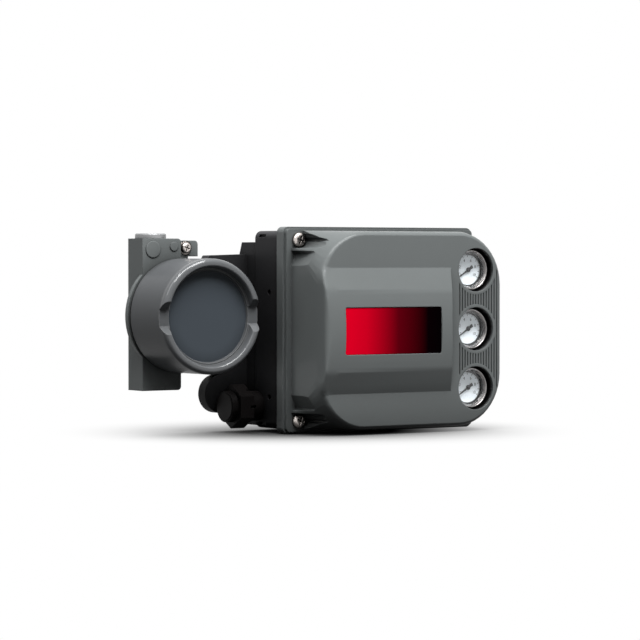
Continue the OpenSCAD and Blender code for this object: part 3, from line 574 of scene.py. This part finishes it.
@dataclass(frozen=True)
class LabelFilm(Finish):
    """Printed film that fades from red to black along the window."""

    left: float = -69.0 * MM
    right: float = 24.0 * MM
    stops: Stops = (
        (0.0, srgb(226, 0, 36)), (0.22, srgb(206, 0, 32)), (0.55, srgb(92, 0, 14)),
        (0.86, srgb(8, 1, 3)), (1.0, srgb(4, 2, 3)))

    def paint(self, nodes: Nodes, grain: bpy.types.Node, edges: bpy.types.Node) -> bpy.types.NodeSocket:
        """Fade the colour along X.

        Args:
            nodes: The material's nodes.
            grain: The grain group's node; not used.
            edges: The edge group's node; not used.

        Returns:
            The colour's socket.
        """
        past = nodes.math("SUBTRACT", nodes.place()[0], self.left)
        along = nodes.math("DIVIDE", past, self.right - self.left, clamp=True)
        return nodes.ramp(along, self.stops)


@dataclass(frozen=True)
class CapPaint(Finish):
    """Paint of the terminal cap, with a cooler sunk face and a glossy rim."""

    axis_x: float = -167.2 * MM
    axis_z: float = 12.0 * MM
    face_r: float = 35.3 * MM
    face_y: float = -70.0 * MM
    face: Color = srgb(66, 72, 78)
    rim_y: tuple[float, float] = (-78.5 * MM, -80.5 * MM)
    rim_gloss: float = 0.75
    lit_z: tuple[float, float] = (-0.35, 0.1)

    def material(self) -> bpy.types.Material:
        """Build the paint, with a glossy rim.

        Returns:
            The material.
        """
        made = super().material()
        nodes = Nodes(made.node_tree)
        rim = nodes.smooth(nodes.place()[1], *self.rim_y, self.rim_gloss)
        upward = nodes.add("SeparateXYZ", Vector=nodes.add("NewGeometry").outputs["Normal"]).outputs[2]
        gloss = nodes.math("MULTIPLY", rim, nodes.smooth(upward, *self.lit_z))
        made.node_tree.links.new(gloss, made.node_tree.nodes["Principled BSDF"].inputs["Coat Weight"])
        return made

    def paint(self, nodes: Nodes, grain: bpy.types.Node, edges: bpy.types.Node) -> bpy.types.NodeSocket:
        """Tint the sunk face inside the rim.

        Args:
            nodes: The material's nodes.
            grain: The grain group's node.
            edges: The edge group's node.

        Returns:
            The colour's socket.
        """
        where = nodes.place()
        across = nodes.math("POWER", nodes.math("SUBTRACT", where[0], self.axis_x), 2.0)
        upward = nodes.math("POWER", nodes.math("SUBTRACT", where[2], self.axis_z), 2.0)
        inside = nodes.math("LESS_THAN", nodes.math("ADD", across, upward), self.face_r ** 2)
        front = nodes.math("LESS_THAN", where[1], self.face_y)
        face = nodes.math("MULTIPLY", inside, front)
        paint = super().paint(nodes, grain, edges)
        return nodes.mix(face, paint, self.face)


@dataclass(frozen=True)
class ClearGlass(Finish):
    """Clear window glass of the gauges."""

    ior: float = 1.45
    shade: Color = (0.97, 0.98, 0.98, 1.0)

    def material(self) -> bpy.types.Material:
        """Build thin clear glass.

        Returns:
            The material.
        """
        made = bpy.data.materials.new(self.name)
        made.use_nodes = True
        tree = made.node_tree
        nodes = Nodes(tree)
        shader = tree.nodes["Principled BSDF"]
        shader.inputs["Base Color"].default_value = self.color
        shader.inputs["Roughness"].default_value = self.rough
        shader.inputs["Transmission Weight"].default_value = 1.0
        shader.inputs["IOR"].default_value = self.ior
        clear = nodes.add("BsdfTransparent", Color=self.shade)
        shadow = nodes.add("LightPath").outputs["Is Shadow Ray"]
        mix = nodes.add("MixShader", i0=shadow, i1=shader.outputs[0], i2=clear.outputs[0])
        tree.links.new(mix.outputs[0], tree.nodes["Material Output"].inputs["Surface"])
        return made


# The shade depth and reach of each finish paint ambient-occlusion shade into its colour; the long reaches on
# the cover, box and housing paints put in the shade cast by the cap and the wing. The cap paint's lightened
# edges are mostly a painted highlight on the rim.
FINISHES = (
    CoverPaint("cover_paint", srgb(104, 108, 108), rough=0.40, drift=0.06, bump=0.04, grain=1400.0,
               edge_wear_and_highlight=0.02, painted_shade=0.75, specular=0.12, edge_r=1.0 * MM, coat=0.10, reach=40.0 * MM),
    CapPaint("cap_paint", srgb(90, 92, 94), rough=0.32, drift=0.06, bump=0.03, grain=1400.0,
             edge_wear_and_highlight=0.16, painted_shade=0.9, specular=0.07, edge_r=1.0 * MM, reach=12.0 * MM),
    Finish("box_paint", srgb(110, 114, 114), rough=0.40, drift=0.06, bump=0.04, grain=1400.0,
           edge_wear_and_highlight=0.02, painted_shade=0.85, specular=0.06, edge_r=1.0 * MM, coat=0.05, reach=22.0 * MM),
    Finish("housing_paint", srgb(64, 64, 66), rough=0.40, drift=0.16, bump=0.08, grain=1100.0,
           edge_wear_and_highlight=0.02, painted_shade=1.0, specular=0.04, reach=60.0 * MM),
    Finish("bright_steel", srgb(206, 198, 193), rough=0.24, metallic=1.0, drift=0.10, grain=1800.0,
           painted_shade=0.9),
    Finish("black_rubber", srgb(16, 16, 16), rough=0.62, drift=0.20, bump=0.10, specular=0.2),
    LabelFilm("label_film", srgb(200, 0, 30), rough=0.6, rough_spread=0.02, bump=0.01, painted_shade=0.2,
              specular=0.0),
    Finish("gauge_steel", srgb(186, 183, 182), rough=0.26, metallic=1.0, drift=0.06, grain=2200.0,
           painted_shade=0.65),
    DialFace("dial_face", srgb(236, 241, 245), rough=0.42, drift=0.12, bump=0.02, painted_shade=0.1),
    Finish("pointer_black", srgb(14, 14, 16), rough=0.5, drift=0.10, bump=0.02, specular=0.15, painted_shade=0.2),
    ClearGlass("lens_glass", (0.97, 0.985, 0.99, 1.0), rough=0.02),
    Finish("cast_aluminium", srgb(176, 178, 180), rough=0.44, metallic=0.9, drift=0.16, bump=0.15,
           grain=700.0),
    Finish("black_plastic", srgb(18, 16, 16), rough=0.46, drift=0.18, bump=0.08, specular=0.06, painted_shade=0.8),
    Finish("board_green", srgb(18, 92, 52), rough=0.36, drift=0.14, bump=0.03),
    Finish("terminal_plastic", srgb(40, 74, 104), rough=0.40, drift=0.12, bump=0.05),
    Finish("cable_jacket", srgb(40, 40, 42), rough=0.52, drift=0.14, bump=0.06),
    Finish("plug_metal", srgb(158, 159, 160), rough=0.36, metallic=0.5, drift=0.12, bump=0.06),
    Finish("screen_steel", srgb(150, 150, 146), rough=0.40, metallic=1.0, drift=0.30, bump=0.20,
           grain=2600.0),
)
SPECIAL_WEAR = {"terminal_cap": "cap_paint", "terminal_box": "box_paint"}
SHELLS = {"front_cover": "cover_paint"}


class Wardrobe:
    """Builds each finish's material once and hands it out."""

    def __init__(self) -> None:
        """Build the shared node groups and the materials."""
        grain_group()
        edge_group()
        cavity_group()
        gauge_group()
        self.materials = {finish.name: finish.material() for finish in FINISHES}

    def of(self, name: str) -> bpy.types.Material:
        """Give the material of a finish by its name."""
        return self.materials[name]

    def dress_frame(self) -> None:
        """Give every CAD node the material of its slot in the record."""
        for part in frame["record"]["subparts"]:
            finish = SPECIAL_WEAR.get(part["node"], part["material_slot"])
            dress(frame["nodes"][part["node"]], self.of(finish))
            LOG.info("node %s wears %s", part["node"], finish)


@dataclass
class SmoothShell:
    """A CAD shell shown as one merged mesh, with smooth walls, crisp edges and a moulded panel end."""

    node: str
    body: str
    slot: str
    crease: float = math.radians(16)
    weld: float = 2e-6
    soft_x: tuple[float, float] = (-89 * MM, -73 * MM)
    soft_y: tuple[float, float] = (-125 * MM, -105 * MM)
    soft_z: float = 58 * MM
    left: float = -86.8 * MM
    middle: Point = (0.0, -95 * MM, 0.0)
    corner_r: float = 42 * MM
    corner_z: float = 36 * MM
    shelf: float = 14.5 * MM
    foot_y: float = -109 * MM
    arc_steps: int = 256
    step: float = 1.25 * MM
    snap: float = 0.02 * MM
    rounds: int = 32
    ease: float = 0.5
    near: float = 0.1 * MM
    anywhere: float = 1.0

    def region(self, shell: bpy.types.Object, grow: float) -> list[int]:
        """Find the outer faces that lie in the panel's left end.

        Args:
            shell: The shell.
            grow: How far a face may reach past the region.

        Returns:
            The indices of the faces.
        """
        found = []
        for face in shell.data.polygons:
            points = [shell.data.vertices[index].co for index in face.vertices]
            xs, ys, zs = zip(*points)
            hollow = face.normal.dot(face.center - Vector(self.middle)) < 0.0
            if hollow or min(xs) > self.soft_x[1] - self.near or max(xs) > self.soft_x[1] + grow:
                continue
            if min(ys) > self.soft_y[1] - self.near or max(ys) > self.soft_y[1] + grow:
                continue
            if min(zs) > self.soft_z - self.near or max(zs) < self.near - self.soft_z:
                continue
            if max(zs) > self.soft_z + grow or min(zs) < -self.soft_z - grow:
                continue
            found.append(face.index)
        return found

    def choose(self, shell: bpy.types.Object, faces: list[int]) -> None:
        """Select only the given faces and go into edit mode.

        Args:
            shell: The shell, in object mode.
            faces: The indices of the faces.
        """
        bpy.ops.object.mode_set(mode="EDIT")
        bpy.ops.mesh.select_mode(type="FACE")
        bpy.ops.mesh.select_all(action="DESELECT")
        bpy.ops.object.mode_set(mode="OBJECT")
        for index in faces:
            shell.data.polygons[index].select = True
        bpy.ops.object.mode_set(mode="EDIT")

    def slice(self, axis: Axis, at: float) -> None:
        """Cut the selected faces along one plane.

        Args:
            axis: The axis that the plane stands across.
            at: The plane's place on that axis.
        """
        spot = [0.0, 0.0, 0.0]
        normal = [0.0, 0.0, 0.0]
        spot[axis.value] = at
        normal[axis.value] = 1.0
        bpy.ops.mesh.bisect(plane_co=spot, plane_no=normal, threshold=self.snap)

    def mesh_end(self, shell: bpy.types.Object) -> list[int]:
        """Cut the panel's left end into small even faces.

        Args:
            shell: The shell, in object mode.

        Returns:
            The indices of the vertices inside the end.
        """
        for axis, at in ((Axis.X, self.soft_x[1]), (Axis.Y, self.soft_y[1]), (Axis.Z, self.soft_z),
                         (Axis.Z, -self.soft_z)):
            self.choose(shell, self.region(shell, self.anywhere))
            self.slice(axis, at)
            bpy.ops.object.mode_set(mode="OBJECT")
        self.choose(shell, self.region(shell, self.near))
        bpy.ops.mesh.hide(unselected=True)
        spans = {Axis.X: self.soft_x, Axis.Y: self.soft_y, Axis.Z: (-self.soft_z, self.soft_z)}
        for axis, (low, high) in spans.items():
            for count in range(1, int(round((high - low) / self.step))):
                bpy.ops.mesh.select_all(action="SELECT")
                self.slice(axis, low + count * self.step)
        bpy.ops.mesh.reveal(select=False)
        bpy.ops.mesh.select_all(action="DESELECT")
        bpy.ops.object.mode_set(mode="OBJECT")
        inside = set()
        for index in self.region(shell, self.near):
            inside.update(shell.data.polygons[index].vertices)
        return sorted(inside)

    def trim(self, shell: bpy.types.Object, side: int) -> None:
        """Cut one corner of the panel's left end back to the corner's arc.

        Args:
            shell: The shell, in object mode.
            side: 1 for the upper corner, -1 for the lower one.
        """
        depth = self.foot_y - self.soft_y[0]
        middle_y = (self.foot_y + self.soft_y[0]) / 2
        deselect()
        bpy.ops.mesh.primitive_cylinder_add(
            vertices=self.arc_steps, radius=self.corner_r, depth=2 * depth, rotation=(math.pi / 2, 0, 0),
            location=(self.left + self.corner_r, middle_y, side * self.corner_z))
        core = bpy.context.object
        bpy.ops.mesh.primitive_cube_add(
            size=1.0, location=(self.left, middle_y, side * (self.corner_z + self.shelf / 2)),
            scale=(self.shelf, depth, self.shelf))
        cutter = bpy.context.object
        carve(cutter, core)
        carve(shell, cutter)

    def soften(self, shell: bpy.types.Object) -> None:
        """Round the panel's left end into the corner and the wall, as a moulded cover is.

        Args:
            shell: The shell, in object mode.
        """
        for side in (1, -1):
            self.trim(shell, side)
        for index in self.mesh_end(shell):
            vertex = shell.data.vertices[index]
            spot = vertex.co
            vertex.select = (spot.x < self.soft_x[1] - self.near and spot.y < self.soft_y[1] - self.near
                             and abs(spot.z) < self.soft_z - self.near)
        bpy.ops.object.mode_set(mode="EDIT")
        bpy.ops.mesh.select_mode(type="VERT")
        bpy.ops.mesh.vertices_smooth(factor=self.ease, repeat=self.rounds)
        bpy.ops.object.mode_set(mode="OBJECT")

    def build(self, wardrobe: Wardrobe) -> bpy.types.Object:
        """Copy the node's mesh, weld it, smooth it and show it in the node's place.

        Args:
            wardrobe: The materials.

        Returns:
            The new piece.
        """
        mesh = frame["nodes"][self.node].data.copy()
        shell = bpy.data.objects.new(self.node + "_shell", mesh)
        mesh.name = shell.name
        bpy.context.scene.collection.objects.link(shell)
        activate(shell)
        bpy.ops.object.mode_set(mode="EDIT")
        bpy.ops.mesh.select_all(action="SELECT")
        bpy.ops.mesh.remove_doubles(threshold=self.weld)
        bpy.ops.mesh.customdata_custom_splitnormals_clear()
        bpy.ops.object.mode_set(mode="OBJECT")
        self.soften(shell)
        bpy.ops.object.shade_smooth_by_angle(angle=self.crease)
        bpy.ops.object.modifier_add(type="WEIGHTED_NORMAL")
        shell.modifiers[-1].keep_sharp = True
        bpy.ops.object.modifier_apply(modifier=shell.modifiers[-1].name)
        dress(shell, wardrobe.of(SPECIAL_WEAR.get(self.node, self.slot)))
        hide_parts(self.node)
        place(shell, self.body)
        return shell


@dataclass
class DialMarks:
    """Scale ring, ticks and plain numbers printed on the gauge dials."""

    start: float = 212.0
    sweep: float = 244.0
    ring_r: float = 12.4 * MM
    ring_w: float = 0.35 * MM
    ring_steps: int = 72
    seed: float = 0.1 * MM
    facing: float = 0.9
    ticks: int = 50
    ticks_to_major: int = 5
    major: tuple[float, float] = (2.0 * MM, 0.44 * MM)
    minor: tuple[float, float] = (1.1 * MM, 0.2 * MM)
    numbers: tuple[str, ...] = ("0", "2", "4", "6", "8", "10")
    number_r: float = 8.0 * MM
    number_size: float = 3.4 * MM
    ink: float = 0.05 * MM
    weld: float = 1e-7

    def surface(self) -> float:
        """Give the Y of the dial's printed face."""
        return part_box("gauge_dial_middle")[0].y

    def spot(self, share: float, radius: float) -> Point:
        """Find a point of the scale.

        Args:
            share: Share of the scale, from 0 to 1.
            radius: Distance from the dial's centre.

        Returns:
            The point on the dial's face.
        """
        angle = math.radians(self.start - self.sweep * share)
        return GAUGE_X + radius * math.cos(angle), self.surface() - self.ink / 2, radius * math.sin(angle)

    def tick(self, share: float, length: float, width: float) -> bpy.types.Object:
        """Lay one tick as a thin flat bar.

        Args:
            share: Share of the scale, from 0 to 1.
            length: Length of the tick.
            width: Width of the tick.

        Returns:
            The tick.
        """
        deselect()
        bpy.ops.mesh.primitive_cube_add(size=1.0, location=self.spot(share, self.ring_r - length / 2))
        tick = bpy.context.object
        tick.scale = (length, self.ink, width)
        tick.rotation_euler = (0, -math.radians(self.start - self.sweep * share), 0)
        settle(tick)
        return tick

    def ring(self) -> bpy.types.Object:
        """Spin a narrow strip along the scale.

        Returns:
            The scale ring.
        """
        deselect()
        bpy.ops.mesh.primitive_cube_add(size=1.0, location=self.spot(0.0, self.ring_r))
        ring = bpy.context.object
        ring.scale = (self.ring_w, self.ink, self.seed)
        ring.rotation_euler = (0, -math.radians(self.start), 0)
        settle(ring)
        turn = math.radians(self.start)
        along = Vector((math.sin(turn), 0, -math.cos(turn)))
        bpy.ops.object.mode_set(mode="EDIT")
        bpy.ops.mesh.select_mode(type="FACE")
        bpy.ops.mesh.select_all(action="DESELECT")
        bpy.ops.object.mode_set(mode="OBJECT")
        for face in ring.data.polygons:
            face.select = face.normal.dot(along) < -self.facing
        bpy.ops.object.mode_set(mode="EDIT")
        bpy.ops.mesh.spin(steps=self.ring_steps, angle=math.radians(self.sweep), center=(GAUGE_X, 0, 0),
                          axis=(0, 1, 0))
        bpy.ops.mesh.select_all(action="SELECT")
        bpy.ops.mesh.remove_doubles(threshold=self.weld)
        bpy.ops.mesh.normals_make_consistent(inside=False)
        bpy.ops.object.mode_set(mode="OBJECT")
        return ring

    def number(self, text: str, share: float) -> bpy.types.Object:
        """Set one number upright on the dial.

        Args:
            text: The number.
            share: Share of the scale, from 0 to 1.

        Returns:
            The number as a mesh.
        """
        deselect()
        bpy.ops.object.text_add()
        number = bpy.context.object
        number.data.body = text
        number.data.size = self.number_size
        number.data.align_x = number.data.align_y = "CENTER"
        number.data.extrude = self.ink / 2
        bpy.ops.object.convert(target="MESH")
        number = bpy.context.object
        number.rotation_euler = (math.radians(90), 0, 0)
        number.location = self.spot(share, self.number_r)
        settle(number)
        return number

    def build(self, wardrobe: Wardrobe) -> None:
        """Print the middle dial and copy its print to the others.

        Args:
            wardrobe: The materials.
        """
        parts = [self.ring()]
        for step in range(self.ticks + 1):
            length, width = self.minor if step % self.ticks_to_major else self.major
            parts.append(self.tick(step / self.ticks, length, width))
        for step, text in enumerate(self.numbers):
            parts.append(self.number(text, step / (len(self.numbers) - 1)))
        middle = join(parts, "gauge_marks_middle")
        prints = [middle]
        for name, row in GAUGE_ROWS.items():
            if row:
                prints.append(copy_piece(middle, "gauge_marks_" + name, (0, 0, row * GAUGE_PITCH)))
        for marks in prints:
            dress(marks, wardrobe.of("pointer_black"))
            place(marks, "body")


@dataclass(frozen=True)
class Softbox:
    """A soft lamp that points at the object."""

    name: str
    at: Point
    size: tuple[float, float]
    power: float
    aim: Point = (-0.05, -0.05, 0.0)

    def hang(self) -> None:
        """Add the lamp and turn it to the object."""
        deselect()
        bpy.ops.object.light_add(type="AREA", location=self.at)
        lamp = bpy.context.object
        lamp.name = self.name
        lamp.data.shape = "RECTANGLE"
        lamp.data.size, lamp.data.size_y = self.size
        lamp.data.energy = self.power
        lamp.rotation_mode = "QUATERNION"
        lamp.rotation_quaternion = (Vector(self.aim) - Vector(self.at)).to_track_quat("-Z", "Y")


@dataclass
class Studio:
    """White floor, soft light and the camera at the photograph's place."""

    softboxes: tuple[Softbox, ...] = (
        Softbox("key_softbox", (-0.15, -0.80, 1.42), (1.4, 0.8), 57.0),
        Softbox("left_softbox", (-1.30, -0.45, 1.15), (0.7, 0.7), 6.4))
    floor_z: float = -0.0823
    floor_size: float = 24.0
    floor_gray: float = 0.08
    floor_rough: float = 0.8
    camera_at: Point = (-1.310136, -1.919925, 0.055653)
    yaw: float = math.radians(34.1)
    pitch: float = math.atan(60 / 2806)
    lens: float = 157.84
    sensor: float = 36.0
    clip: tuple[float, float] = (0.05, 60.0)
    ambient: float = 0.03
    fade_at: Point = (-0.04, -0.04, 0.0)
    fade_r: tuple[float, float] = (0.06, 0.22)
    lift: float = 0.88
    # Reach, strength and samples of the contact shadow painted on the floor.
    contact_r: float = 0.18
    contact_power: float = 2.0
    contact_samples: int = 12

    def camera(self) -> None:
        """Make the camera and point it along its measured direction."""
        deselect()
        bpy.ops.object.camera_add(location=self.camera_at)
        camera = bpy.context.object
        camera.name = "product_camera"
        look = Vector((math.sin(self.yaw) * math.cos(self.pitch), math.cos(self.yaw) * math.cos(self.pitch),
                       -math.sin(self.pitch)))
        camera.rotation_mode = "QUATERNION"
        camera.rotation_quaternion = look.to_track_quat("-Z", "Y")
        camera.data.lens = self.lens
        camera.data.sensor_width = self.sensor
        camera.data.clip_start, camera.data.clip_end = self.clip
        bpy.context.scene.camera = camera

    def floor(self) -> None:
        """Lay the white floor, which keeps a faint lamp shadow and a contact shadow painted from ambient
        occlusion, and fades to pure white further out.
        """
        deselect()
        bpy.ops.mesh.primitive_plane_add(size=self.floor_size, location=(0, 0, self.floor_z))
        floor = bpy.context.object
        floor.name = "studio_floor"
        made = bpy.data.materials.new("studio_white")
        made.use_nodes = True
        tree = made.node_tree
        nodes = Nodes(tree)
        shader = tree.nodes["Principled BSDF"]
        shader.inputs["Roughness"].default_value = self.floor_rough
        shader.inputs["Specular IOR Level"].default_value = 0.0
        seen = nodes.seen()
        where = nodes.add("TexCoord").outputs["Object"]
        offset = nodes.add("VectorMath", p_operation="SUBTRACT", i0=where, i1=self.fade_at).outputs[0]
        away = nodes.add("VectorMath", p_operation="LENGTH", i0=offset).outputs["Value"]
        fade = nodes.smooth(away, *self.fade_r)
        # Ambient occlusion paints the contact shadow onto the floor.
        open_sky = nodes.add("AmbientOcclusion", p_samples=self.contact_samples, Distance=self.contact_r)
        painted_contact_shadow = nodes.math("POWER", open_sky.outputs["AO"], self.contact_power)
        white = nodes.add("Emission", Color=WHITE, Strength=1.0)
        gray = nodes.add("CombineColor", i0=painted_contact_shadow, i1=painted_contact_shadow, i2=painted_contact_shadow).outputs[0]
        base = nodes.math("MULTIPLY", painted_contact_shadow, self.floor_gray)
        tree.links.new(base, shader.inputs["Base Color"])
        tree.links.new(gray, shader.inputs["Emission Color"])
        tree.links.new(nodes.math("MULTIPLY", seen, self.lift), shader.inputs["Emission Strength"])
        mix = nodes.add("MixShader", i0=nodes.math("MULTIPLY", fade, seen), i1=shader.outputs[0],
                        i2=white.outputs[0])
        tree.links.new(mix.outputs[0], tree.nodes["Material Output"].inputs["Surface"])
        dress(floor, made)

    def world(self) -> None:
        """Give the world a white look and an even soft light."""
        world = bpy.data.worlds.new("studio_world")
        bpy.context.scene.world = world
        world.use_nodes = True
        nodes = Nodes(world.node_tree)
        back = world.node_tree.nodes["Background"]
        back.inputs["Color"].default_value = WHITE
        strength = nodes.math("ADD", nodes.math("MULTIPLY", nodes.seen(), 1.0 - self.ambient), self.ambient)
        world.node_tree.links.new(strength, back.inputs["Strength"])

    def build(self) -> None:
        """Set up the camera, floor, lamps and view."""
        self.camera()
        self.floor()
        for softbox in self.softboxes:
            softbox.hang()
        self.world()
        bpy.context.scene.view_settings.view_transform = "Standard"
        LOG.info("studio ready")


def main() -> None:
    """Build the studio and dress the part."""
    logging.basicConfig(level=logging.INFO, format="%(name)s: %(message)s")
    Studio().build()
    wardrobe = Wardrobe()
    wardrobe.dress_frame()
    for node, slot in SHELLS.items():
        SmoothShell(node, "body", slot).build(wardrobe)
    DialMarks().build(wardrobe)


if __name__ == "__main__":
    main()
